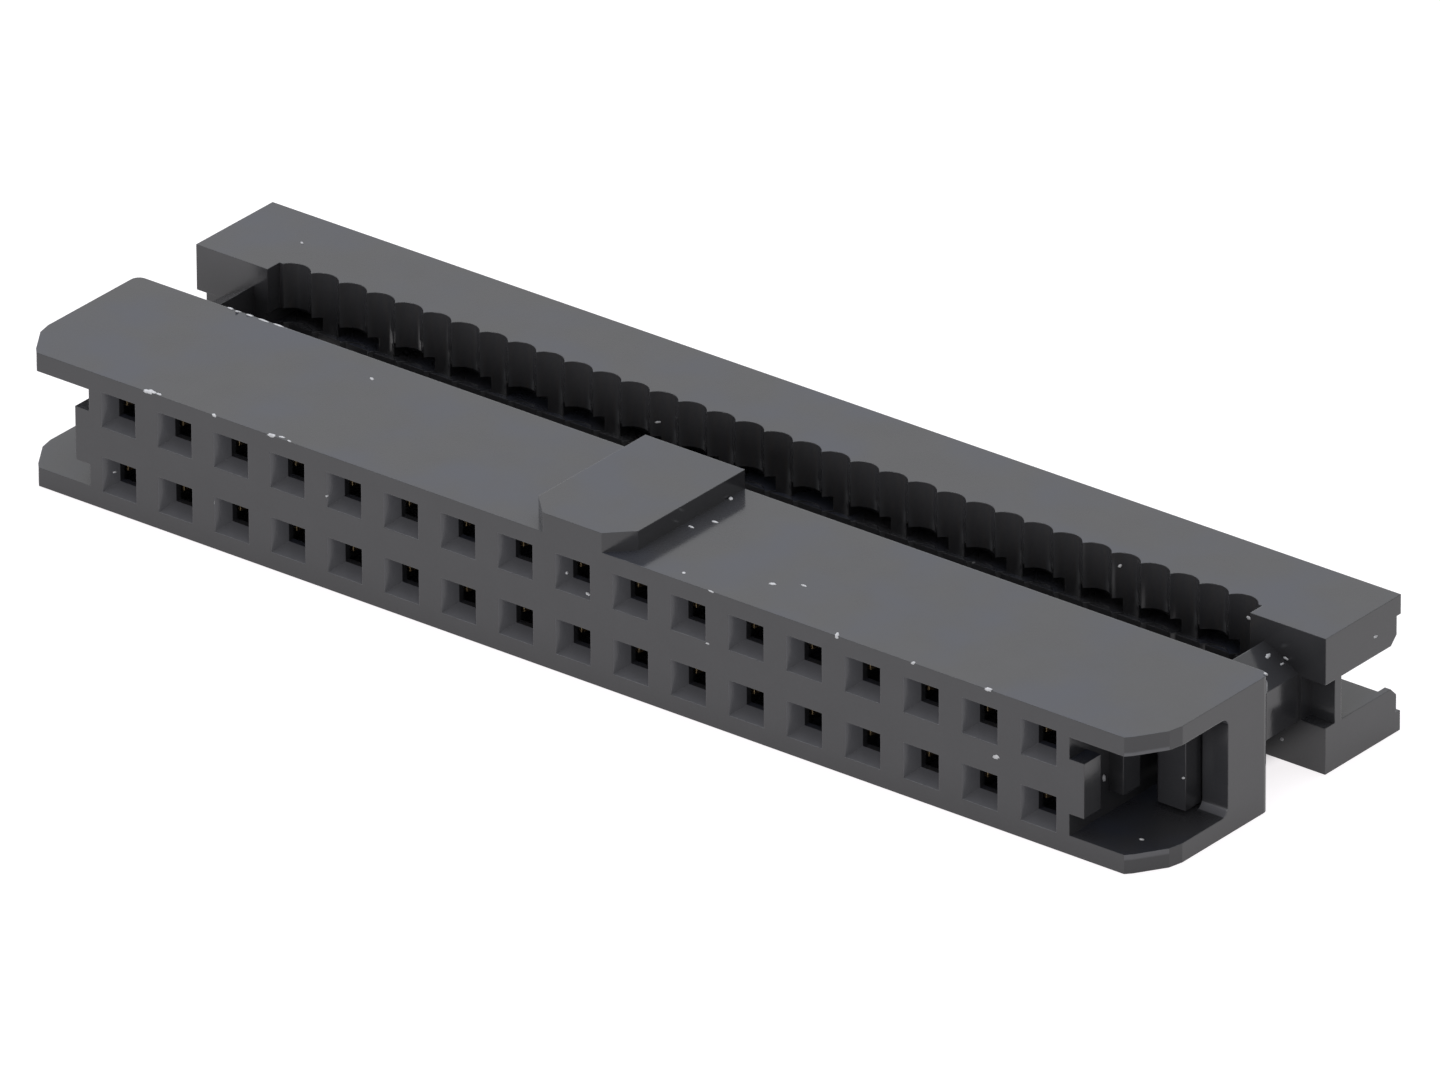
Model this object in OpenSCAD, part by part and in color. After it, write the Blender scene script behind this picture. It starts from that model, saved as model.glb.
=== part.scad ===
// Two-row ribbon cable socket, insulation displacement type, with its press-on cover
// held in the open position, ready for a ribbon to be laid through the slot.
// The connector lies on its long plain side, polarising key up, mating face towards -Y.

/* [Contact grid] */
// Number of contact columns
columns = 17; // [3:1:25]
// Distance between neighbouring columns
pitch = 2.54; // [2.4:0.01:3]
// Distance between the two contact rows
row_pitch = 2.54; // [2.4:0.01:2.8]

/* [Housing] */
// Thickness of housing and cover
height = 5.24; // [5.1:0.01:6.2]
// Depth of the housing, from the mating face to its rear face
body_d = 6.85; // [6.6:0.05:9]
// Plastic from the last column's centre to the end of the socket block
block_end = 1.33; // [1.1:0.01:2]
// Thickness of the two flat end plates above and below each latch bay
plate_t = 0.73; // [0.5:0.01:0.78]
// Length of each latch bay, from socket block to end post
bay_l = 2.3; // [2.2:0.01:3]
// Length of each end post
post_l = 1.1; // [0.8:0.01:2]
// Depth of each end post, measured from the rear face
post_d = 2.38; // [1.8:0.01:2.6]
// Length that the front corner bevel takes off each end
corner_x = 1.05; // [0.4:0.01:1.6]
// Depth of the front corner bevel
corner_y = 1.9; // [0.5:0.01:3]
// Radius of the housing's upright corners
corner_r = 0.35; // [0.1:0.01:0.6]

/* [Latch bay detail] */
// How far the guide ribs stand off the socket block's ends
rib_out = 0.63; // [0.3:0.01:0.7]
// Height of the guide ribs
rib_h = 2.1; // [1:0.01:2.6]
// Depth of the front guide rib
rib_d = 0.95; // [0.5:0.01:1.5]
// Distance from the mating face to the rear rib's front
detent_y = 2.2; // [1.6:0.01:3]

/* [Polarising key] */
// Width of the key
key_w = 4.4; // [3:0.01:5]
// How far the key stands above the housing
key_h = 0.75; // [0.4:0.01:1.5]
// Size of the slanted cut on the key's two front corners
key_cut = 0.9; // [0.2:0.01:1.4]

/* [Pin openings] */
// Width of an opening at the mating face
mouth_w = 1.55; // [1.2:0.01:1.8]
// Height of an opening at the mating face
mouth_h = 1.38; // [1.1:0.01:1.6]
// Width of the opening's throat
throat_w = 0.9; // [0.75:0.01:1.1]
// Height of the opening's throat
throat_h = 0.8; // [0.75:0.01:1]
// Depth of the tapered lead-in
funnel_d = 0.6; // [0.3:0.01:0.8]
// Width of the chamber behind the throat
chamber_w = 1.5; // [1.46:0.01:1.7]
// Height of the chamber behind the throat
chamber_h = 1.3; // [0.9:0.01:1.4]

/* [Contacts] */
// Thickness of the contact strip
strip_t = 0.3; // [0.2:0.01:0.35]
// Gap between the two spring beams at their contact points
beam_gap = 0.56; // [0.4:0.01:0.62]
// Width of each spring beam
beam_w = 0.26; // [0.2:0.01:0.3]
// Height of each row of tines above or below the middle
tine_z = 0.58; // [0.55:0.01:0.7]
// Width of a pair of tines
fork_w = 1; // [0.8:0.01:1.04]
// Width of the slot that grips the wire
fork_slot = 0.28; // [0.2:0.01:0.34]
// How far the tines reach behind the housing
tine_out = 2.05; // [1.6:0.01:2.1]
// Play between a contact and the plastic round it
contact_play = 0.04; // [0.03:0.01:0.06]

/* [Cover] */
// Depth of the cover, from its inner face to its end walls' outer face
cover_d = 4.05; // [3.8:0.01:6]
// How much shorter the cover is than the housing, at each end
cover_set = 0.05; // [0:0.01:0.3]
// Open gap between housing and cover
open_gap = 3.2; // [3.1:0.01:3.4]
// How far the cover is pressed in, from open to closed
travel = 2.6; // [2:0.01:2.6]
// Depth of the ribbon channel at the points between two wires
channel_d = 0.67; // [0.4:0.01:0.9]
// Further depth of the grooves that seat the wires
groove_d = 0.36; // [0.2:0.01:0.4]
// Play between the ribbon channel's ends and the socket block
channel_play = 0.1; // [0.05:0.01:0.3]
// Width of each tine pocket in the channel
pocket_w = 1.85; // [1.3:0.01:1.95]
// Height of each tine pocket
pocket_h = 0.56; // [0.5:0.01:0.7]
// Depth of the tine pockets below the grooves
pocket_d = 0.73; // [0.5:0.01:1]
// Height of the raised band between the two rows of pockets
band_h = 0.5; // [0.2:0.01:0.54]
// How far that band stands out of the grooves
band_out = 0.2; // [0.05:0.01:0.3]
// Height of the two rims along the cover's outer face
rim_h = 0.75; // [0.4:0.01:1.2]
// How far the rims stand out
rim_out = 0.23; // [0.1:0.01:0.5]
// Depth of the recess between the rims
back_d = 0.72; // [0.2:0.01:1]
// Thickness of the recess's end walls
back_wall = 0.25; // [0.15:0.01:0.6]

/* [Cover end slots] */
// Height of the slot in each end of the cover
slot_h = 1.67; // [1:0.01:2]
// Length of the slot, from the cover's end
slot_l = 2.1; // [1.5:0.01:2.2]
// Depth of the shallow step in front of the slot's web
step_d = 0.53; // [0.2:0.01:0.7]
// Thickness of the web across the front of the slot
web_t = 0.37; // [0.25:0.01:0.6]
// Size of the slanted cut on the slot's rear edges
slot_cut = 0.32; // [0.1:0.01:0.6]

/* [Legs] */
// Play between a leg and the plastic round it
leg_play = 0.12; // [0.08:0.01:0.16]
// Half height of the leg on its outer side
leg_edge = 0.92; // [0.6:0.01:1.2]
// Distance from the mating face to the leg's tip, with the cover closed
tip_back = 1.08; // [0.5:0.01:1.3]
// Depth of the taller head at the leg's tip
head_d = 0.9; // [0.5:0.01:1.4]
// Size of the slanted lead-in on the head's inner side
head_cut = 0.25; // [0.1:0.01:0.5]

/* [Hidden] */
$fn = 48;
over = 1;                                   // overshoot of a cut past a face
join = 0.1;                                 // overlap of two shapes that make one solid or one cut
knee_near = [0.12, 0.7];                    // points of the front bevels, as shares of their length
knee_far = [0.8, 0.12];                     //   and depth, from the end face
wire_pitch = pitch / 2;
grid_half = (columns - 1) / 2 * pitch;      // first to middle column
block_half = grid_half + block_end;
post_in = block_half + bay_l;
body_half = post_in + post_l;
cover_half = body_half - cover_set;
bay_h = height - 2 * plate_t;
post_y = body_d - post_d;

// contacts, in depth from the mating face
row_z = row_pitch / 2;
fork_x = -wire_pitch / 2;
throat_d = 0.25;                            // straight part of an opening, behind its lead-in
chamber_y = funnel_d + throat_d;
beam_y = chamber_y + 0.15;
beam_in = beam_y + 0.45;                    // the beams touch the pin from here
beam_rest = beam_y + 0.75;                  //   to here
beam_back = beam_y + 1.25;
seat_y = body_d - 1.95;                     // the base fills its seat from here to the jog
jog_y = body_d - 1.35;
beam_out = chamber_w / 2 - 0.07;
beam_cut = 0.02;                            // bevel of a beam's tip
tip_out = body_d + tine_out;
tip_taper = 0.5;                            // length of a tine's pointed end
tip_out_x = 0.08;                           // taper of a tine's outer side
tip_in_x = 0.15;                            //   and how far in its point ends
slot_root = 0.3;                            // solid part of a fork, behind the housing

// cover, in depth from the mating face
cover_y = body_d + open_gap;
ridge_y = cover_y + channel_d;
groove_y = ridge_y + groove_d;
wall_y = cover_y + cover_d;
rim_y = wall_y + rim_out;
floor_y = wall_y - back_d;
step_y = cover_y + step_d;
groove_r = (pow(wire_pitch / 2, 2) + pow(groove_d, 2)) / (2 * groove_d);
channel_half = block_half + channel_play;

// legs
leg_in = block_half + rib_out + leg_play;
leg_end = post_in - leg_play;
leg_root = bay_h / 2 - leg_play;            // half height of the leg on its inner side
tip_y = travel + tip_back;

function col_x(i) = (i - (columns + 1) / 2) * pitch;
function two_digits(i) = i < 10 ? str("0", i) : str(i);
function contact_name(row, i) = str("contact_", row, "_", two_digits(i));
function arc(cx, cy, r, a0, a1, steps = 6) =
    [for (s = [0 : steps]) let (a = a0 + (a1 - a0) * s / steps) [cx + r * cos(a), cy + r * sin(a)]];

// The frame: middle of the footprint, on the surface that the connector lies on.
module placed() translate([0, -rim_y / 2, height / 2]) children();

// A plate drawn in X and depth, centred on the mid plane.
module slab(h, z = 0) translate([0, 0, z - h / 2]) linear_extrude(h) children();

// A profile drawn in depth and height, run along X about the middle.
module run_x(length) rotate([90, 0, 90]) translate([0, 0, -length / 2]) linear_extrude(length) children();

// Both ends alike.
module both_ends() {
    children();
    mirror([1, 0, 0]) children();
}

// ---- housing ----

module housing_outline() {
    xf = body_half - corner_x;
    polygon(concat(
        arc(body_half - corner_r, body_d - corner_r, corner_r, 0, 90),
        arc(-body_half + corner_r, body_d - corner_r, corner_r, 90, 180),
        [[-body_half, corner_y], [-body_half + knee_near.x * corner_x, knee_near.y * corner_y],
         [-body_half + knee_far.x * corner_x, knee_far.y * corner_y], [-xf, 0],
         [xf, 0], [body_half - knee_far.x * corner_x, knee_far.y * corner_y],
         [body_half - knee_near.x * corner_x, knee_near.y * corner_y], [body_half, corner_y]]
    ));
}

// The side opening of a latch bay: open to the front, with rounded rear corners.
module bay_window() {
    r = corner_r;
    translate([-over, -bay_h / 2]) square([post_y + over - r, bay_h]);
    translate([-over, -bay_h / 2 + r]) square([post_y + over, bay_h - 2 * r]);
    for (s = [-1, 1]) translate([post_y - r, s * (bay_h / 2 - r)]) circle(r);
}

module latch_bay() {
    translate([block_half, -over, -bay_h / 2]) cube([bay_l, body_d + 2 * over, bay_h]);
    translate([block_half + bay_l - over, 0, 0]) rotate([90, 0, 90]) linear_extrude(post_l + 2 * over) bay_window();
}

module guide_ribs() {
    for (y = [0, detent_y])
        translate([block_half - join, y, -rib_h / 2]) cube([rib_out + join, rib_d, rib_h]);
}

module key_outline() {
    w = key_w / 2;
    polygon([[-w, body_d], [-w, key_cut], [-w + key_cut, 0], [w - key_cut, 0], [w, key_cut], [w, body_d]]);
}

// One column of the upper row's cavities, seen from above.
module cavity_plan() {
    polygon([[-mouth_w / 2, 0], [-throat_w / 2, funnel_d], [-throat_w / 2, chamber_y + join],
             [throat_w / 2, chamber_y + join], [throat_w / 2, funnel_d], [mouth_w / 2, 0],
             [mouth_w / 2, -over], [-mouth_w / 2, -over]]);
    translate([-chamber_w / 2, chamber_y]) square([chamber_w, jog_y - chamber_y + contact_play]);
    translate([fork_x - fork_w / 2 - contact_play, seat_y])
        square([fork_w + 2 * contact_play, body_d - seat_y + over]);
}

// The upper row's cavities, seen from the end.
module cavity_side() {
    polygon([[-over, row_z - mouth_h / 2], [0, row_z - mouth_h / 2], [funnel_d, row_z - throat_h / 2],
             [chamber_y + join, row_z - throat_h / 2], [chamber_y + join, row_z + throat_h / 2],
             [funnel_d, row_z + throat_h / 2], [0, row_z + mouth_h / 2], [-over, row_z + mouth_h / 2]]);
    translate([chamber_y, row_z - chamber_h / 2]) square([seat_y - chamber_y, chamber_h]);
    z0 = tine_z - strip_t / 2 - contact_play;
    z1 = row_z + strip_t / 2 + contact_play;
    translate([seat_y - join, z0]) square([jog_y + contact_play - seat_y + join, z1 - z0]);
    translate([jog_y, z0]) square([body_d - jog_y + over, strip_t + 2 * contact_play]);
}

module cavity_row() {
    intersection() {
        linear_extrude(height) for (i = [1 : columns]) translate([col_x(i), 0]) cavity_plan();
        run_x(2 * body_half) cavity_side();
    }
}

module housing() {
    color([0.17, 0.17, 0.18]) placed() {
        difference() {
            union() {
                slab(height) housing_outline();
                translate([0, 0, height / 2 - join]) linear_extrude(key_h + join) key_outline();
            }
            both_ends() latch_bay();
            cavity_row();
            rotate([0, 180, 0]) cavity_row();
        }
        both_ends() guide_ribs();
    }
}

// ---- contacts ----

module beam_plan() {
    g = beam_gap / 2;
    o = beam_out;
    i = beam_out - beam_w;
    polygon([[i, jog_y - strip_t], [i, beam_back], [g, beam_rest], [g, beam_in], [i, beam_y],
             [o - beam_cut, beam_y], [g + beam_w, beam_in], [g + beam_w, beam_rest],
             [o, beam_back], [o, jog_y - strip_t]]);
}

module fork_plan() {
    w = fork_w / 2;
    s = fork_slot / 2;
    polygon([[-w, jog_y - strip_t], [w, jog_y - strip_t], [w, tip_out - tip_taper], [w - tip_out_x, tip_out],
             [w - tip_in_x, tip_out], [s, tip_out - tip_taper], [s, body_d + slot_root],
             [-s, body_d + slot_root], [-s, tip_out - tip_taper], [-w + tip_in_x, tip_out],
             [-w + tip_out_x, tip_out], [-w, tip_out - tip_taper]]);
}

// One contact of the upper row: two spring beams, a stepped base and a pair of tines.
module contact_shape() {
    slab(strip_t, row_z) {
        beam_plan();
        mirror([1, 0]) beam_plan();
        translate([-beam_out, seat_y - strip_t]) square([2 * beam_out, jog_y - seat_y + strip_t]);
    }
    translate([-beam_out, jog_y - strip_t, tine_z - strip_t / 2])
        cube([2 * beam_out + fork_x, strip_t, row_z - tine_z + strip_t]);
    slab(strip_t, tine_z) translate([fork_x, 0]) fork_plan();
}

module contact_top(i) color([0.80, 0.66, 0.42]) placed() translate([col_x(i), 0, 0]) contact_shape();

module contact_bottom(i)
    color([0.80, 0.66, 0.42]) placed() translate([col_x(i), 0, 0]) rotate([0, 180, 0]) contact_shape();

// ---- cover ----

// The cover seen along the wires: a bar with a grooved channel in its inner face.
module cover_plan() {
    difference() {
        translate([-cover_half, cover_y]) square([2 * cover_half, rim_y - cover_y]);
        translate([-channel_half, cover_y - over]) square([2 * channel_half, channel_d + over]);
        for (w = [1 : 2 * columns])
            translate([(w - columns - 0.5) * wire_pitch, groove_y - groove_r]) circle(groove_r);
    }
}

// Tine pockets of the upper row.
module pocket_row() {
    for (i = [1 : columns])
        translate([col_x(i) + fork_x - pocket_w / 2, ridge_y - over, tine_z - pocket_h / 2])
            cube([pocket_w, groove_y - ridge_y + over + pocket_d, pocket_h]);
}

module back_recess() {
    w = cover_half - back_wall;
    h = height - 2 * rim_h;
    translate([-w, floor_y, -h / 2]) cube([2 * w, rim_y - floor_y + over, h]);
    translate([-cover_half - over, wall_y, -h / 2]) cube([2 * (cover_half + over), rim_out + over, h]);
}

// The slanted cut on one rear edge of an end slot, seen from the end.
module slot_bevel() {
    y = wall_y - slot_cut - over;
    z = slot_h / 2 - over;
    polygon([[y, z], [wall_y + over, slot_h / 2 + slot_cut + over], [wall_y + over, z]]);
}

module end_slot() {
    translate([post_in, cover_y - over, -slot_h / 2]) cube([post_l + over, step_d + over, slot_h]);
    translate([cover_half - slot_l, step_y + web_t, -slot_h / 2])
        cube([slot_l + over, rim_y - step_y, slot_h]);
    translate([cover_half, 0, 0]) run_x(2 * slot_l) {
        slot_bevel();
        mirror([0, 1]) slot_bevel();
    }
}

module leg() {
    y0 = cover_y + step_d;
    y1 = tip_y + head_d;
    translate([0, y0, 0]) rotate([90, 0, 0]) linear_extrude(y0 - y1 + join)
        polygon([[leg_in, leg_root], [leg_end, leg_edge], [leg_end, -leg_edge], [leg_in, -leg_root]]);
    slab(2 * leg_root) polygon([[leg_in, y1], [leg_in, tip_y + head_cut], [leg_in + head_cut, tip_y],
                                [leg_end, tip_y], [leg_end, y1]]);
}

module cover() {
    color([0.16, 0.16, 0.17]) placed() {
        difference() {
            slab(height) cover_plan();
            pocket_row();
            rotate([0, 180, 0]) pocket_row();
            back_recess();
            both_ends() end_slot();
        }
        slab(band_h) translate([-channel_half, groove_y - band_out])
            square([2 * channel_half, band_out + groove_d]);
        both_ends() leg();
    }
}

// ---- output ----

housing();
cover();
for (i = [1 : columns]) {
    contact_top(i);
    contact_bottom(i);
}
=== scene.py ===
"""Finishes a two-row ribbon cable socket: moulded plastic, flecks of flash, sprung contacts and a stage."""

import math

import bpy
import numpy as np
from mathutils import Matrix, Vector


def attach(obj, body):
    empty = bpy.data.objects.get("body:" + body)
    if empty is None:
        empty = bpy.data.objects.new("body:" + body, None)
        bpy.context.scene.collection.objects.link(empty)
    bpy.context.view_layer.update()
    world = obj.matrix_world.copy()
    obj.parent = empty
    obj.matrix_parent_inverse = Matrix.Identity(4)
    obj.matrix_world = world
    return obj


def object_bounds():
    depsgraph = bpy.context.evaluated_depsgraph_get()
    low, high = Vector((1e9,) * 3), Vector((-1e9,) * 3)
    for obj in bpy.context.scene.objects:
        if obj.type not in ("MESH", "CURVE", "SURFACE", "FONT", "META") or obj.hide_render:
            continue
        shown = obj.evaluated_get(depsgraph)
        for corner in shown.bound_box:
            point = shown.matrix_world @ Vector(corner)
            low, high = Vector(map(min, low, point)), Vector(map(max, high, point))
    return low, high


bl_info = {
    "name": "Ribbon cable socket finish",
    "version": (1, 0, 0),
    "blender": (4, 5, 0),
    "location": "3D Viewport > Sidebar > Socket",
    "description": "Gives a packed ribbon cable socket its plastic, its contacts and its stage",
    "category": "Object",
}

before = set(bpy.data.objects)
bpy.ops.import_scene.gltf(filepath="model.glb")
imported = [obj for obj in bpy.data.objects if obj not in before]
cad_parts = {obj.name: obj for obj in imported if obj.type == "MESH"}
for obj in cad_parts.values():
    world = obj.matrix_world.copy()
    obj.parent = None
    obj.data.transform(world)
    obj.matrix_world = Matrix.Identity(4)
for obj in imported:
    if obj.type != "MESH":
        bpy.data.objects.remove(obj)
cad_box = [list(corner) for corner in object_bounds()]
MM = 0.001
WHITE = (1.0, 1.0, 1.0)
FRONT, BEHIND = 0.0, math.pi  # azimuths
CAMERA_REACH = (0.05, 20.0)  # the nearest and furthest that the camera sees, in metres

# Where each mask begins, and where it is full.
MOULDED_EDGE = (0.01, 0.2)  # 1 - cosine of the bend that rounds an edge of the plastic
SHEARED_EDGE = (0.02, 0.25)  # the same for an edge of a contact
CREASE = (0.1, 0.3)  # share of the space nearby that walls take up
SPECK_RIM = (0.03, 0.06)  # distance from the middle of a speck, in cells
LEVEL_FACE = (0.95, 0.99)  # how far a face looks up
SHEEN_PATCH = (0.35, 0.75)  # strength of the painted sheen's noise
SLANTED_WALL = (0.3, 0.4)  # how far a slanted wall of an opening looks to the front
MATING_FACE = (0.93, 0.97)  # the same for the mating face round it
PAST_THE_ROWS = (2.0, 2.1)  # millimetres above or below the middle between the two rows of openings

# Flecks of moulding flash. Each row has the middle's x, y and z, the way that the face looks, and then
# the length and the width. Places and sizes are in millimetres.
HOUSING_FLECKS = (
    # along the mating edge
    (-18.91, -7.12, 5.235, 0, -0.5, 0.87, 0.54, 0.20), (-18.52, -7.08, 5.235, 0, -0.5, 0.87, 0.20, 0.13),
    (-15.97, -7.15, 5.225, 0, -0.7, 0.7, 0.22, 0.11), (-13.40, -7.14, 5.23, 0, -0.6, 0.8, 0.42, 0.13),
    (-13.02, -7.04, 5.235, 0, -0.3, 0.95, 0.24, 0.10), (-12.62, -7.12, 5.235, 0, -0.5, 0.87, 0.16, 0.09),
    (11.58, -7.14, 5.225, 0, -0.7, 0.7, 0.20, 0.22), (14.90, -7.15, 5.225, 0, -0.7, 0.7, 0.18, 0.11),
    (18.14, -7.14, 5.225, 0, -0.7, 0.7, 0.28, 0.17), (6.10, -7.15, 5.225, 0, -0.7, 0.7, 0.26, 0.06),
    # on the top and beside the key
    (4.51, -6.65, 5.24, 0, 0, 1, 0.18, 0.10), (7.44, -5.44, 5.24, 0, 0, 1, 0.26, 0.16),
    (8.38, -4.89, 5.24, 0, 0, 1, 0.22, 0.10), (-13.39, -1.60, 5.24, 0, 0, 1, 0.20, 0.13),
    (2.30, -1.23, 5.25, 0.5, 0, 0.87, 0.20, 0.14), (2.95, -2.95, 5.24, 0, 0, 1, 0.24, 0.10),
    (2.53, -3.75, 5.24, 0, 0, 1, 0.22, 0.10),
    # along the slot's edge, at its left end
    (-20.80, -0.33, 5.235, 0, 0.5, 0.87, 0.32, 0.12), (-20.42, -0.36, 5.235, 0, 0.5, 0.87, 0.16, 0.30),
    (-19.92, -0.34, 5.235, 0, 0.5, 0.87, 0.26, 0.20), (-19.30, -0.36, 5.235, 0, 0.5, 0.87, 0.46, 0.10),
    (-18.62, -0.34, 5.235, 0, 0.5, 0.87, 0.56, 0.07),
    # on the mating face and in its openings
    (18.49, -7.165, 2.75, 0, -1, 0, 0.30, 0.16), (5.94, -7.165, 3.17, 0, -1, 0, 0.14, 0.08),
    (0.51, -6.95, 3.30, 0, -0.44, 0.9, 0.22, 0.12), (-0.56, -6.77, 3.71, 0.88, -0.48, 0, 0.14, 0.10),
    (-10.93, -7.15, 3.64, 0.88, -0.48, 0, 0.14, 0.08), (-20.87, -6.74, 1.34, 0.88, -0.48, 0, 0.14, 0.08),
    # in the latch bay and on the end post
    (21.65, -5.23, 2.15, 1, 0, 0, 0.20, 0.26), (23.78, -5.88, 0.73, 0, 0, 1, 0.20, 0.10),
    (24.94, -0.42, 4.75, 0.7, 0.7, 0, 0.10, 0.55), (24.93, -0.43, 5.225, 0.5, 0.5, 0.7, 0.20, 0.16),
)
COVER_FLECKS = (
    (22.87, 2.42, 4.11, 0.51, 0, 0.86, 0.30, 0.16), (23.31, 2.64, 3.85, 0.51, 0, 0.86, 0.16, 0.10),
    (23.29, 2.89, 3.96, 0, -1, 0, 0.24, 0.10), (23.14, 2.88, 0.80, 0, -1, 0, 0.20, 0.12),
    (23.74, -3.49, 2.10, 0, -1, 0, 0.12, 0.10), (25.00, 5.71, 4.19, 1, 0, 0, 0.20, 0.13),
    (20.92, 3.91, 4.36, 0.07, -1, 0, 0.24, 0.12), (15.44, 3.77, 4.72, 0.62, -0.79, 0, 0.16, 0.12),
    (-4.89, 3.77, 4.03, 0.62, -0.79, 0, 0.20, 0.10), (-22.10, 5.24, 5.24, 0, 0, 1, 0.14, 0.10),
)
RIM_WAVES = ((2, 0.22, 1.7), (5, 0.16, 2.9))  # waves round a fleck, their height, turn from fleck to fleck
SIDEWAYS = 0.45  # a face whose normal has more x than this looks sideways
FLECK_MARGIN = 0.015 * MM  # how far a fleck may pass the socket's box


# ---- shader maths ----


class Term:
    """One output of a node tree. Arithmetic on it adds Math nodes to the same tree."""

    def __init__(self, shop, socket):
        self.shop = shop
        self.socket = socket

    def _math(self, operation, *values):
        return self.shop.node("ShaderNodeMath", {"operation": operation}, dict(enumerate(values)))

    def __add__(self, other):
        return self._math("ADD", self, other)

    def __sub__(self, other):
        return self._math("SUBTRACT", self, other)

    def __mul__(self, other):
        return self._math("MULTIPLY", self, other)

    def __rsub__(self, other):
        return self._math("SUBTRACT", other, self)

    __radd__ = __add__
    __rmul__ = __mul__

    def size(self):
        return self._math("ABSOLUTE", self)

    def at_least(self, other):
        return self._math("MAXIMUM", self, other)

    def step(self, low, high):
        """0 below low, 1 above high, and a smooth S between them."""
        return self.shop.node(
            "ShaderNodeMapRange",
            {"interpolation_type": "SMOOTHSTEP"},
            {"Value": self, "From Min": low, "From Max": high},
        )

    def swing(self, amount):
        """A noise as a change about 0, which is half of the amount either way at the most."""
        return (self - 0.5) * amount


class Shop:
    """The emptied node tree of a material or a world, and the one method that puts nodes in it."""

    def __init__(self, owner):
        owner.use_nodes = True
        self.owner = owner
        self.tree = owner.node_tree
        self.tree.nodes.clear()

    def node(self, kind, settings=None, values=None, out=0):
        """Adds one node: its settings first, then its sockets' values or links. Returns one output."""
        made = self.tree.nodes.new(kind)
        for key, value in (settings or {}).items():
            setattr(made, key, value)
        for key, value in (values or {}).items():
            if isinstance(value, Term):
                self.tree.links.new(value.socket, made.inputs[key])
            else:
                made.inputs[key].default_value = value
        return Term(self, made.outputs[out]) if made.outputs else None

    def vector(self, operation, values, out=0):
        return self.node("ShaderNodeVectorMath", {"operation": operation}, values, out)

    def axis(self, vector, letter):
        """One of a vector's three parts."""
        return self.node("ShaderNodeSeparateXYZ", {}, {"Vector": vector}, out=letter)

    def millimetres(self):
        """The piece's own coordinates, in millimetres."""
        return self.vector("SCALE", {0: self.node("ShaderNodeTexCoord", out="Object"), "Scale": 1 / MM})

    def noise(self, place, size, detail=2.0):
        """Cloudy noise about the middle value 0.5. Its blotches are about `size` metres."""
        return self.node("ShaderNodeTexNoise", {}, {"Vector": place, "Scale": MM / size, "Detail": detail})

    def blend(self, factor, first, second):
        """The first colour where the factor is 0, the second where it is 1."""
        return self.node("ShaderNodeMix", {"data_type": "RGBA"}, {0: factor, 6: first, 7: second}, out=2)

    def rounded(self, radius, samples):
        """The normal that rounds the edges, the face's own, and 1 - cosine of the bend between them."""
        soft = self.node("ShaderNodeBevel", {"samples": samples}, {"Radius": radius})
        face = self.node("ShaderNodeNewGeometry", out="Normal")
        return soft, face, 1 - self.vector("DOT_PRODUCT", {0: soft, 1: face}, out="Value")

    def bump(self, strength, depth, height, normal):
        values = {"Strength": strength, "Distance": depth, "Height": height, "Normal": normal}
        return self.node("ShaderNodeBump", {}, values)

    def finish(self, kind, settings, values, output="ShaderNodeOutputMaterial"):
        """Adds the last shader and the output, and returns the material or world."""
        self.node(output, {}, {"Surface": self.node(kind, settings, values)})
        return self.owner


def rgba(colour, gain=1.0):
    return (colour[0] * gain, colour[1] * gain, colour[2] * gain, 1.0)


# ---- finishes ----


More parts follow.
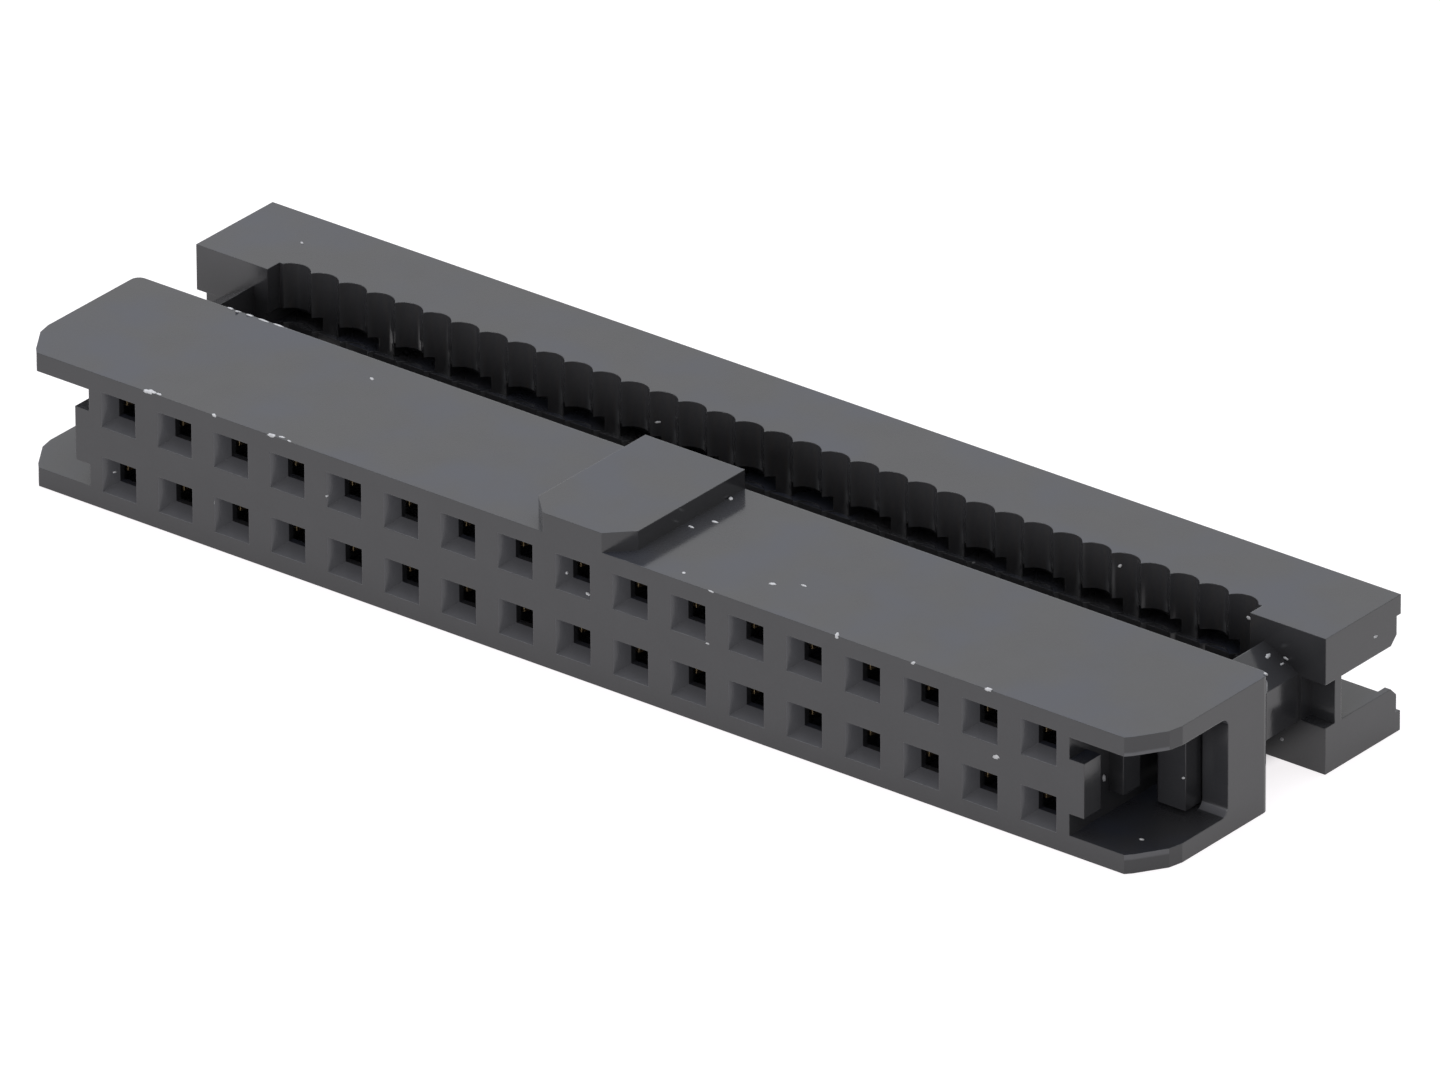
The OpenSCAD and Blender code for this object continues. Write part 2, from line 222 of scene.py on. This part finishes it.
def plastic(name, look, painted_light):
    """Semi-gloss moulded plastic: fine grain, faint clouds, softened edges and a few pale specks.

    Painted in the colour: a bluish sheen in patches on the upper faces, a highlight along the edges and
    shade in the hollows. The last argument is how much paler the slanted walls of the openings are,
    as painted light where they look to the front.
    """
    shop = Shop(bpy.data.materials.new(name))
    place = shop.millimetres()
    soft, face, bend = shop.rounded(look.edge_radius, samples=6)
    edge = bend.step(*MOULDED_EDGE)
    # How closely nearby walls hem a place in. Below, it paints shade into the colour there, and it also
    # roughens the surface and keeps creases sharp.
    near = {"Distance": look.hollow_reach}
    hollow = 1 - shop.node("ShaderNodeAmbientOcclusion", {"samples": 8}, near, out="AO")
    # A rounded crease would show as a pale line, so the face's own normal comes back there.
    turn = {0: hollow.step(*CREASE), 4: soft, 5: face}
    soft = shop.node("ShaderNodeMix", {"data_type": "VECTOR"}, turn, out=1)

    cloud = shop.noise(place, look.mottle_size, detail=3.0)
    grain = shop.noise(place, look.grain_size, detail=1.0)
    cells = {"Vector": place, "Scale": MM / look.speck_spacing, "Randomness": 1.0}
    from_speck = shop.node("ShaderNodeTexVoronoi", {"feature": "F1"}, cells, out="Distance")
    speck = (1 - from_speck.step(*SPECK_RIM)) * edge

    # Painted light: the slanted walls of the openings that look to the front, between the rows, are painted
    # paler.
    forward = shop.axis(face, "Y") * -1
    off_middle = (shop.axis(place, "Z") - look.row_height / MM).size()
    lightened = forward.step(*SLANTED_WALL) * (1 - forward.step(*MATING_FACE))
    lightened = lightened * (1 - off_middle.step(*PAST_THE_ROWS))
    # The edges get a painted highlight and those walls get painted light, both as paler colour.
    shade = 1 + cloud.swing(look.mottle) + grain.swing(look.grain) + edge * look.edge_highlight + lightened * painted_light
    # Painted shade: the colour is darker in the hollows, where nearby walls keep the light off.
    shade = shade * (1 - hollow * look.painted_hollow_shade)
    colour = shop.vector("SCALE", {0: tuple(look.plastic_colour), "Scale": shade})
    # Painted sheen: a bluish tint in patches on the upward faces only, for the bluish light that they
    # reflect.
    sheen = shop.noise(place, look.sheen_size).step(*SHEEN_PATCH) * shop.axis(face, "Z").step(*LEVEL_FACE)
    colour = shop.blend(sheen, colour, rgba(look.sheen_colour))
    colour = shop.blend(speck, colour, rgba(look.speck_colour))
    rough = look.roughness + cloud.swing(look.roughness_mottle) + grain.swing(look.roughness_grain)
    rough = rough + hollow * look.roughness_hollow
    return shop.finish("ShaderNodeBsdfPrincipled", {}, {
        "Base Color": colour,
        "Roughness": rough,
        "Normal": shop.bump(look.bump, look.bump_depth, grain, soft),
        "IOR": look.gloss_index,
    })


def spring_metal(name, look):
    """Stamped spring metal: rolled streaks along the strip, a slight tarnish and bright sheared edges."""
    shop = Shop(bpy.data.materials.new(name))
    place = shop.millimetres()
    soft, _, bend = shop.rounded(look.edge_radius, samples=4)
    along = shop.node("ShaderNodeMapping", {}, {"Vector": place, "Scale": look.streaks})
    streak = shop.noise(along, MM)
    tarnish = (shop.noise(place, look.tarnish_size) - look.tarnish_start).at_least(0) * look.tarnish_rate
    colour = shop.blend(tarnish, rgba(look.metal_colour), rgba(look.tarnish_colour))
    bright = bend.step(*SHEARED_EDGE) * look.edge_share
    colour = shop.blend(bright, colour, rgba(look.metal_colour, look.edge_gain))
    rough = look.roughness + streak.swing(look.roughness_streak) + tarnish * look.roughness_tarnish
    return shop.finish("ShaderNodeBsdfPrincipled", {}, {
        "Base Color": colour,
        "Metallic": 1.0,
        "Roughness": rough,
        "Normal": shop.bump(look.bump, look.bump_depth, streak, soft),
    })


def flash_fleck(name, look):
    """Thin torn flash: the plastic stretched pale, a little cloudy."""
    shop = Shop(bpy.data.materials.new(name))
    cloud = shop.noise(shop.millimetres(), look.fleck_cloud)
    dark, pale = (rgba(look.speck_colour, gain) for gain in (look.fleck_dark, look.fleck_pale))
    colour = shop.blend(cloud, dark, pale)
    rough = look.fleck_roughness + cloud.swing(look.fleck_mottle)
    return shop.finish("ShaderNodeBsdfPrincipled", {}, {"Base Color": colour, "Roughness": rough})


def background_ray(shop):
    """1 for the rays that show a background, straight, in a gloss or through glass, and 0 for the rest."""
    camera, glossy, clear = (
        shop.node("ShaderNodeLightPath", out=f"Is {kind} Ray")
        for kind in ("Camera", "Glossy", "Transmission")
    )
    return camera.at_least(glossy).at_least(clear)


def pale_floor(name, look, middle, reach):
    """A pale floor whose own glow shows it as white, but lights nothing. It keeps the object's shadow.

    Its glow fades out under the socket, as a painted shadow there.
    """
    shop = Shop(bpy.data.materials.new(name))
    place = shop.node("ShaderNodeTexCoord", out="Object")
    away = shop.vector("ABSOLUTE", {0: shop.vector("SUBTRACT", {0: place, 1: middle})})
    past_edge = (shop.axis(away, "X") - reach.x).at_least(shop.axis(away, "Y") - reach.y)
    # Painted shadow: the glow fades out under the socket.
    clear = past_edge.step(-look.table_dim, -look.table_dim / 2)
    camera = shop.node("ShaderNodeLightPath", out="Is Camera Ray")
    level = background_ray(shop) * look.table_gloss - camera * (look.table_gloss - look.table_level)
    matte = shop.node("ShaderNodeBsdfDiffuse", {}, {"Color": rgba(look.floor_colour)})
    glow = shop.node("ShaderNodeEmission", {}, {"Color": rgba(look.table_colour), "Strength": clear * level})
    return shop.finish("ShaderNodeAddShader", {}, {0: matte, 1: glow})


def even_surroundings(world, look):
    """The same light from all round. Rays that show a background see white instead."""
    shop = Shop(world)
    even = shop.node("ShaderNodeBackground", {}, {"Color": rgba(WHITE), "Strength": look.sky_level})
    white = shop.node("ShaderNodeBackground", {}, {"Color": rgba(WHITE), "Strength": 1.0})
    mixed = {0: background_ray(shop), 1: even, 2: white}
    return shop.finish("ShaderNodeMixShader", {}, mixed, output="ShaderNodeOutputWorld")


def dress(node, material):
    """Puts one material in all of a CAD node's slots."""
    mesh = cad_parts[node].data
    mesh.materials.clear()
    mesh.materials.append(material)


# ---- sizes and colours ----


class SocketPlasticLook(bpy.types.PropertyGroup):
    """Sizes and colours of the moulded plastic."""

    plastic_colour: bpy.props.FloatVectorProperty(
        name="Plastic colour", description="Body colour of the moulding", default=(0.040, 0.040, 0.044),
        subtype="COLOR", size=3, min=0.0, max=1.0,
    )
    roughness: bpy.props.FloatProperty(
        name="Roughness", description="Mean roughness of the surface", default=0.14, min=0.0, max=1.0,
        subtype="FACTOR",
    )
    roughness_mottle: bpy.props.FloatProperty(
        name="Roughness mottle", description="How far the mottling changes the roughness", default=0.08,
        min=0.0, max=1.0,
    )
    roughness_grain: bpy.props.FloatProperty(
        name="Roughness grain", description="How far the grain changes the roughness", default=0.05,
        min=0.0, max=1.0,
    )
    roughness_hollow: bpy.props.FloatProperty(
        name="Roughness of hollows", description="How much rougher the hollows are", default=0.12,
        min=0.0, max=1.0,
    )
    gloss_index: bpy.props.FloatProperty(
        name="Index of refraction", description="How strongly the surface reflects", default=1.5,
        min=1.0, max=2.0,
    )
    edge_radius: bpy.props.FloatProperty(
        name="Edge radius", description="Softening of the moulded edges", default=0.045 * MM,
        subtype="DISTANCE", unit="LENGTH", precision=6,
    )
    # Painted highlight: how much paler the colour is along the edges.
    edge_highlight: bpy.props.FloatProperty(
        name="Edge lift", description="How much paler the rubbed edges are", default=0.18, min=0.0, max=1.0,
    )
    grain_size: bpy.props.FloatProperty(
        name="Grain size", description="Size of the fine surface grain", default=0.09 * MM,
        subtype="DISTANCE", unit="LENGTH", precision=6,
    )
    grain: bpy.props.FloatProperty(
        name="Grain strength", description="How far the grain changes the colour", default=0.10,
        min=0.0, max=1.0,
    )
    bump: bpy.props.FloatProperty(
        name="Grain relief", description="Share of the grain's depth that shows", default=0.12,
        min=0.0, max=1.0, subtype="FACTOR",
    )
    bump_depth: bpy.props.FloatProperty(
        name="Grain depth", description="Depth of the grain at full relief", default=0.01 * MM,
        subtype="DISTANCE", unit="LENGTH", precision=6,
    )
    mottle_size: bpy.props.FloatProperty(
        name="Mottle size", description="Size of the cloudy mottling", default=1.4 * MM,
        subtype="DISTANCE", unit="LENGTH", precision=6,
    )
    mottle: bpy.props.FloatProperty(
        name="Mottle strength", description="How far the mottling changes the colour", default=0.25,
        min=0.0, max=1.0,
    )
    speck_colour: bpy.props.FloatVectorProperty(
        name="Speck colour", description="Colour of the pale specks and flecks", default=(0.55, 0.55, 0.57),
        subtype="COLOR", size=3, min=0.0, max=1.0,
    )
    speck_spacing: bpy.props.FloatProperty(
        name="Speck spacing", description="Mean distance between pale specks", default=1.7 * MM,
        subtype="DISTANCE", unit="LENGTH", precision=6,
    )
    # Painted sheen: the bluish tint on the upward faces.
    sheen_colour: bpy.props.FloatVectorProperty(
        name="Sheen colour", description="Colour of the faint haze on the upper faces",
        default=(0.037, 0.041, 0.058), subtype="COLOR", size=3, min=0.0, max=1.0,
    )
    sheen_size: bpy.props.FloatProperty(
        name="Sheen size", description="Size of the shiny patches", default=3.2 * MM,
        subtype="DISTANCE", unit="LENGTH", precision=6,
    )
    # Painted light: how much paler the slanted walls of the openings are.
    opening_painted_light: bpy.props.FloatProperty(
        name="Opening painted light", description="How much paler the rubbed walls of the pin openings are",
        default=1.7, min=0.0, max=3.0,
    )
    row_height: bpy.props.FloatProperty(
        name="Row height", description="Height of the middle between the two rows of openings",
        default=2.585 * MM, subtype="DISTANCE", unit="LENGTH", precision=6,
    )
    hollow_reach: bpy.props.FloatProperty(
        name="Hollow reach", description="How near its walls a place is when it counts as hollow",
        default=1.1 * MM, subtype="DISTANCE", unit="LENGTH", precision=6,
    )
    # Painted shade: how much darker the colour is in the hollows.
    painted_hollow_shade: bpy.props.FloatProperty(
        name="Hollow darkening", description="How much darker the hollows are", default=0.35,
        min=0.0, max=1.0,
    )
    fleck_thickness: bpy.props.FloatProperty(
        name="Fleck thickness", description="Thickness of a fleck of flash, half of it proud of the face",
        default=0.08 * MM, subtype="DISTANCE", unit="LENGTH", precision=6,
    )
    fleck_cloud: bpy.props.FloatProperty(
        name="Fleck cloud size", description="Size of the cloudy patches in a fleck", default=0.12 * MM,
        subtype="DISTANCE", unit="LENGTH", precision=6,
    )
    fleck_dark: bpy.props.FloatProperty(
        name="Fleck dark", description="Brightness of a fleck's darkest patches, times the speck colour",
        default=0.65, min=0.0,
    )
    fleck_pale: bpy.props.FloatProperty(
        name="Fleck pale", description="Brightness of a fleck's palest patches, times the speck colour",
        default=1.4, min=0.0,
    )
    fleck_roughness: bpy.props.FloatProperty(
        name="Fleck roughness", description="Mean roughness of a fleck", default=0.45, min=0.0, max=1.0,
        subtype="FACTOR",
    )
    fleck_mottle: bpy.props.FloatProperty(
        name="Fleck roughness mottle", description="How far the patches change a fleck's roughness",
        default=0.3, min=0.0, max=1.0,
    )


class SocketMetalLook(bpy.types.PropertyGroup):
    """Sizes and colours of the contacts' metal."""

    metal_colour: bpy.props.FloatVectorProperty(
        name="Metal colour", description="Colour of the clean strip", default=(0.36, 0.27, 0.15),
        subtype="COLOR", size=3, min=0.0, max=1.0,
    )
    tarnish_colour: bpy.props.FloatVectorProperty(
        name="Tarnish colour", description="Colour where the strip has dulled", default=(0.22, 0.15, 0.08),
        subtype="COLOR", size=3, min=0.0, max=1.0,
    )
    tarnish_size: bpy.props.FloatProperty(
        name="Tarnish size", description="Size of the dull patches", default=0.6 * MM,
        subtype="DISTANCE", unit="LENGTH", precision=6,
    )
    tarnish_start: bpy.props.FloatProperty(
        name="Tarnish start", description="Noise above which the strip is dull", default=0.35,
        min=0.0, max=1.0,
    )
    tarnish_rate: bpy.props.FloatProperty(
        name="Tarnish rate", description="How fast it grows dull above that", default=1.1, min=0.0,
    )
    roughness: bpy.props.FloatProperty(
        name="Metal roughness", description="Mean roughness of the strip", default=0.34, min=0.0, max=1.0,
        subtype="FACTOR",
    )
    roughness_streak: bpy.props.FloatProperty(
        name="Roughness streaks", description="How far the streaks change the roughness", default=0.2,
        min=0.0, max=1.0,
    )
    roughness_tarnish: bpy.props.FloatProperty(
        name="Roughness of tarnish", description="How much rougher the dull patches are", default=0.15,
        min=0.0, max=1.0,
    )
    edge_radius: bpy.props.FloatProperty(
        name="Edge radius", description="Softening of the sheared edges", default=0.03 * MM,
        subtype="DISTANCE", unit="LENGTH", precision=6,
    )
    edge_gain: bpy.props.FloatProperty(
        name="Edge brightness", description="Brightness of a sheared edge, times the metal colour",
        default=1.15, min=0.0,
    )
    edge_share: bpy.props.FloatProperty(
        name="Edge share", description="How much of that shows at the edge", default=0.5, min=0.0, max=1.0,
    )
    streaks: bpy.props.FloatVectorProperty(
        name="Streaks", description="Streaks in a millimetre, along X, Y and Z", default=(14.0, 0.8, 14.0),
        subtype="XYZ", size=3, min=0.0,
    )
    bump: bpy.props.FloatProperty(
        name="Streak relief", description="Share of the streaks' depth that shows", default=0.25,
        min=0.0, max=1.0, subtype="FACTOR",
    )
    bump_depth: bpy.props.FloatProperty(
        name="Streak depth", description="Depth of the streaks at full relief", default=0.004 * MM,
        subtype="DISTANCE", unit="LENGTH", precision=6,
    )


class SocketStageLook(bpy.types.PropertyGroup):
    """The floor, the lights and the camera."""

    floor_size: bpy.props.FloatProperty(
        name="Floor size", description="Side of the square floor", default=3.0, subtype="DISTANCE",
        unit="LENGTH",
    )
    floor_gap: bpy.props.FloatProperty(
        name="Floor gap", description="How far the floor lies below the socket, so that they never coincide",
        default=0.02 * MM, subtype="DISTANCE", unit="LENGTH", precision=6,
    )
    floor_colour: bpy.props.FloatVectorProperty(
        name="Floor colour", description="Colour of the floor", default=(0.35, 0.35, 0.35), subtype="COLOR",
        size=3, min=0.0, max=1.0,
    )
    table_colour: bpy.props.FloatVectorProperty(
        name="Table light colour", description="Colour of the floor's own light", default=(1.0, 0.97, 0.985),
        subtype="COLOR", size=3, min=0.0, max=1.0,
    )
    table_level: bpy.props.FloatProperty(
        name="Table light level", description="Brightness of the floor's own light, on top of its colour",
        default=0.85, min=0.0, max=2.0,
    )
    table_gloss: bpy.props.FloatProperty(
        name="Table light in a gloss", description="The same, as glossy and clear surfaces show it",
        default=0.89, min=0.0, max=2.0,
    )
    # Painted shadow: the floor's glow fades out under the socket.
    table_dim: bpy.props.FloatProperty(
        name="Table dimming", description="How far in from the socket's outline the floor's light is gone",
        default=3.6 * MM, subtype="DISTANCE", unit="LENGTH", precision=6,
    )
    lamp_distance: bpy.props.FloatProperty(
        name="Lamp distance", description="From the middle of the socket to each light", default=1.1,
        subtype="DISTANCE", unit="LENGTH",
    )
    key_colour: bpy.props.FloatVectorProperty(
        name="Key light colour", description="Colour of the main light", default=(0.90, 0.94, 1.0),
        subtype="COLOR", size=3, min=0.0, max=1.0,
    )
    key_level: bpy.props.FloatProperty(
        name="Key light level", description="Brightness of the main light's panel", default=2.2, min=0.0,
    )
    key_elevation: bpy.props.FloatProperty(
        name="Key light elevation", description="Height of the main light above the horizon",
        default=math.radians(72.0), subtype="ANGLE", unit="ROTATION",
    )
    key_azimuth: bpy.props.FloatProperty(
        name="Key light azimuth", description="Turn of the main light from the rear towards the left",
        default=math.radians(38.4), subtype="ANGLE", unit="ROTATION",
    )
    key_size: bpy.props.FloatVectorProperty(
        name="Key light size", description="Width and height of the main light's panel", default=(1.2, 1.0),
        subtype="XYZ", unit="LENGTH", size=2,
    )
    fill_level: bpy.props.FloatProperty(
        name="Fill light level", description="Brightness of the front light's panel", default=4.3, min=0.0,
    )
    fill_elevation: bpy.props.FloatProperty(
        name="Fill light elevation", description="Height of the front light above the horizon",
        default=math.radians(13.0), subtype="ANGLE", unit="ROTATION",
    )
    fill_size: bpy.props.FloatVectorProperty(
        name="Fill light size", description="Width and height of the front light's panel", default=(0.8, 0.4),
        subtype="XYZ", unit="LENGTH", size=2,
    )
    sky_level: bpy.props.FloatProperty(
        name="Sky level", description="Strength of the even light from all round", default=0.5, min=0.0,
    )
    camera_distance: bpy.props.FloatProperty(
        name="Camera distance", description="From the camera to the point it aims at", default=0.88907,
        subtype="DISTANCE", unit="LENGTH",
    )
    camera_azimuth: bpy.props.FloatProperty(
        name="Camera azimuth", description="Turn of the camera from the front towards the right",
        default=math.radians(38.4044), subtype="ANGLE", unit="ROTATION",
    )
    camera_elevation: bpy.props.FloatProperty(
        name="Camera elevation", description="Height of the camera above the horizon",
        default=math.radians(26.9239), subtype="ANGLE", unit="ROTATION",
    )
    camera_roll: bpy.props.FloatProperty(
        name="Camera roll", description="Tilt of the camera about its own axis",
        default=math.radians(-0.3183), subtype="ANGLE", unit="ROTATION",
    )
    camera_film: bpy.props.FloatProperty(
        name="Camera film", description="Width of the film, in millimetres", default=36.0, min=1.0,
    )
    camera_lens: bpy.props.FloatProperty(
        name="Camera lens", description="Focal length of the lens", default=639.644,
        subtype="DISTANCE_CAMERA",
    )
    camera_aim: bpy.props.FloatVectorProperty(
        name="Camera aim", description="Aim point, from the middle of the socket",
        default=(0.650 * MM, 0.228 * MM, -0.443 * MM), subtype="TRANSLATION", unit="LENGTH", size=3,
        precision=6,
    )


# ---- stage ----


def from_angles(azimuth, elevation):
    """Unit vector towards an azimuth, counted from the front to the right, and an elevation."""
    level = math.cos(elevation)
    return Vector((math.sin(azimuth) * level, -math.cos(azimuth) * level, math.sin(elevation)))


def put(name, data):
    made = bpy.data.objects.new(name, data)
    bpy.context.scene.collection.objects.link(made)
    return made


def lay_floor(look, middle, reach):
    """The floor: one square, just below the socket."""
    half = look.floor_size / 2
    height = cad_box[0][2] - look.floor_gap
    mesh = bpy.data.meshes.new("floor")
    corners = [(-half, -half, height), (half, -half, height), (half, half, height), (-half, half, height)]
    mesh.from_pydata(corners, [], [(0, 1, 2, 3)])
    mesh.materials.append(pale_floor("pale_floor", look, middle, reach))
    put("floor", mesh)


def soft_box(name, middle, towards, distance, size, level, colour):
    """A flat panel lamp that looks as bright as `level`, at any distance and size."""
    lamp = bpy.data.lights.new(name, "AREA")
    lamp.shape = "RECTANGLE"
    lamp.size, lamp.size_y = size
    lamp.energy = level * math.pi * size[0] * size[1]
    lamp.color = colour
    made = put(name, lamp)
    made.location = middle + towards * distance
    made.rotation_mode = "QUATERNION"
    made.rotation_quaternion = towards.to_track_quat("Z", "Y")


def aim_camera(look, middle):
    """The camera, on the line from its aim point that the two angles give, rolled about that line."""
    camera = put("camera", bpy.data.cameras.new("camera"))
    camera.data.sensor_width = look.camera_film
    camera.data.lens = look.camera_lens
    camera.data.clip_start, camera.data.clip_end = CAMERA_REACH
    back = from_angles(look.camera_azimuth, look.camera_elevation)
    across = Vector((0, 0, 1)).cross(back).normalized()
    upward = back.cross(across)
    right = across * math.cos(look.camera_roll) + upward * math.sin(look.camera_roll)
    turned = Matrix((right, back.cross(right), back)).transposed()
    place = middle + Vector(look.camera_aim) + back * look.camera_distance
    camera.matrix_world = Matrix.Translation(place) @ turned.to_4x4()
    return camera


class SOCKET_OT_stage(bpy.types.Operator):
    """Makes the floor, the lights, the even surroundings and the camera"""

    bl_idname = "socket.stage"
    bl_label = "Build Stage"

    def execute(self, context):
        scene = context.scene
        look = scene.socket_stage
        low, high = Vector(cad_box[0]), Vector(cad_box[1])
        middle = (low + high) / 2
        lay_floor(look, middle, (high - low) / 2)
        key = from_angles(BEHIND + look.key_azimuth, look.key_elevation)
        soft_box("key_light", middle, key, look.lamp_distance, look.key_size, look.key_level, look.key_colour)
        fill = from_angles(FRONT, look.fill_elevation)
        soft_box("fill_light", middle, fill, look.lamp_distance, look.fill_size, look.fill_level, WHITE)
        scene.world = even_surroundings(scene.world or bpy.data.worlds.new("surroundings"), look)
        scene.camera = aim_camera(look, middle)
        scene.view_settings.view_transform = "Standard"
        return {"FINISHED"}


# ---- the socket's own pieces ----


def fleck_mesh(name, flecks, thickness, rings=5, around=12):
    """Closed thin lenses, half sunk in the face that they lie on.

    For a turn t round the lens and a fall p from its top (0) to its underside (pi), a point is
    along = length/2 * sin(p) * ragged(t) * cos(t), across = width/2 * sin(p) * ragged(t) * sin(t) and
    proud = thickness/2 * cos(p), where ragged(t) = 1 + 0.22 sin(2t + a) + 0.16 sin(5t + b), and a and b
    differ from fleck to fleck. Proud is the way that the face looks, along is level, or X on a level face,
    and across is square to both. The lenses are cut off just outside the socket's box.
    """
    fall = np.linspace(0, np.pi, rings + 2)[1:-1]
    turn = np.linspace(0, 2 * np.pi, around, endpoint=False)
    rows = np.array(flecks, float)
    count = len(rows)
    out = rows[:, 3:6] / np.linalg.norm(rows[:, 3:6], axis=1, keepdims=True)
    level = np.where(np.abs(out[:, :1]) > SIDEWAYS, [[0.0, 1.0, 0.0]], [[1.0, 0.0, 0.0]])
    level = level - (level * out).sum(axis=1, keepdims=True) * out
    level /= np.linalg.norm(level, axis=1, keepdims=True)
    axes = np.stack([level, np.cross(out, level), out], axis=1)
    order = np.arange(count)[:, None]
    ragged = sum((height * np.sin(waves * turn + shift * order) for waves, height, shift in RIM_WAVES), 1)
    spread = np.sin(fall)[None, :, None] * ragged[:, None, :]
    along = rows[:, 6, None, None] * MM / 2 * spread * np.cos(turn)
    across = rows[:, 7, None, None] * MM / 2 * spread * np.sin(turn)
    proud = np.broadcast_to(thickness / 2 * np.cos(fall)[None, :, None], along.shape)
    shell = np.stack([along, across, proud], axis=-1).reshape(count, -1, 3)
    poles = np.broadcast_to(np.array([[0, 0, thickness / 2], [0, 0, -thickness / 2]]), (count, 2, 3))
    points = np.concatenate([shell, poles], axis=1) @ axes + rows[:, None, :3] * MM
    points = np.clip(points, np.array(cad_box[0]) - FLECK_MARGIN, np.array(cad_box[1]) + FLECK_MARGIN)

    ring = np.arange(rings - 1)[:, None] * around
    near = np.arange(around)[None, :]
    far = (near + 1) % around
    sides = np.stack([ring + near, ring + near + around, ring + far + around, ring + far], axis=-1)
    top, base, last = rings * around, rings * around + 1, (rings - 1) * around
    caps = np.concatenate([
        np.stack([np.full(around, top), near[0], far[0]], axis=-1),
        np.stack([np.full(around, base), last + far[0], last + near[0]], axis=-1),
    ])
    start = np.arange(count)[:, None, None] * points.shape[1]
    quads = (sides.reshape(-1, 4) + start).reshape(-1, 4).tolist()
    triangles = (caps + start).reshape(-1, 3).tolist()
    mesh = bpy.data.meshes.new(name)
    mesh.from_pydata(points.reshape(-1, 3).tolist(), [], quads + triangles)
    mesh.shade_smooth()
    return mesh


def add_flecks(name, body, flecks, look):
    """Makes one piece of flecks that rides on a body."""
    mesh = fleck_mesh(name, flecks, look.fleck_thickness)
    mesh.materials.append(flash_fleck(name + "_flash", look))
    piece = put(name, mesh)
    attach(piece, body)


class SOCKET_OT_housing(bpy.types.Operator):
    """Gives the housing its semi-gloss moulded plastic"""

    bl_idname = "socket.housing"
    bl_label = "Finish Housing"

    def execute(self, context):
        look = context.scene.socket_plastic
        dress("housing", plastic("housing_plastic", look, look.opening_painted_light))
        return {"FINISHED"}


class SOCKET_OT_cover(bpy.types.Operator):
    """Gives the press-on cover its semi-gloss moulded plastic"""

    bl_idname = "socket.cover"
    bl_label = "Finish Cover"

    def execute(self, context):
        dress("cover", plastic("cover_plastic", context.scene.socket_plastic, 0.0))
        return {"FINISHED"}


class SOCKET_OT_contacts(bpy.types.Operator):
    """Gives every contact its stamped spring metal"""

    bl_idname = "socket.contacts"
    bl_label = "Finish Contacts"

    def execute(self, context):
        metal = spring_metal("contact_metal", context.scene.socket_metal)
        found = [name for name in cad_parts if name.startswith("contact_")]
        if not found:
            raise RuntimeError("the frame has no contacts")
        for name in found:
            dress(name, metal)
        return {"FINISHED"}


class SOCKET_OT_flecks(bpy.types.Operator):
    """Adds the flecks of moulding flash to the housing and the cover"""

    bl_idname = "socket.flecks"
    bl_label = "Add Flash Flecks"

    def execute(self, context):
        look = context.scene.socket_plastic
        add_flecks("housing_flecks", "socket", HOUSING_FLECKS, look)
        add_flecks("cover_flecks", "cover", COVER_FLECKS, look)
        return {"FINISHED"}


class SOCKET_PT_panel(bpy.types.Panel):
    """Lists the socket's steps in the sidebar"""

    bl_label = "Ribbon Cable Socket"
    bl_idname = "SOCKET_PT_panel"
    bl_space_type = "VIEW_3D"
    bl_region_type = "UI"
    bl_category = "Socket"

    def draw(self, context):
        for step in STEPS:
            self.layout.operator(step.bl_idname)


STEPS = (SOCKET_OT_housing, SOCKET_OT_cover, SOCKET_OT_contacts, SOCKET_OT_flecks, SOCKET_OT_stage)
CLASSES = (SocketPlasticLook, SocketMetalLook, SocketStageLook, *STEPS, SOCKET_PT_panel)


def register():
    for kind in CLASSES:
        bpy.utils.register_class(kind)
    bpy.types.Scene.socket_plastic = bpy.props.PointerProperty(type=SocketPlasticLook)
    bpy.types.Scene.socket_metal = bpy.props.PointerProperty(type=SocketMetalLook)
    bpy.types.Scene.socket_stage = bpy.props.PointerProperty(type=SocketStageLook)


def unregister():
    del bpy.types.Scene.socket_stage
    del bpy.types.Scene.socket_metal
    del bpy.types.Scene.socket_plastic
    for kind in reversed(CLASSES):
        bpy.utils.unregister_class(kind)


def main():
    register()
    bpy.ops.socket.housing()
    bpy.ops.socket.cover()
    bpy.ops.socket.contacts()
    bpy.ops.socket.flecks()
    bpy.ops.socket.stage()


if __name__ == "__main__":
    main()
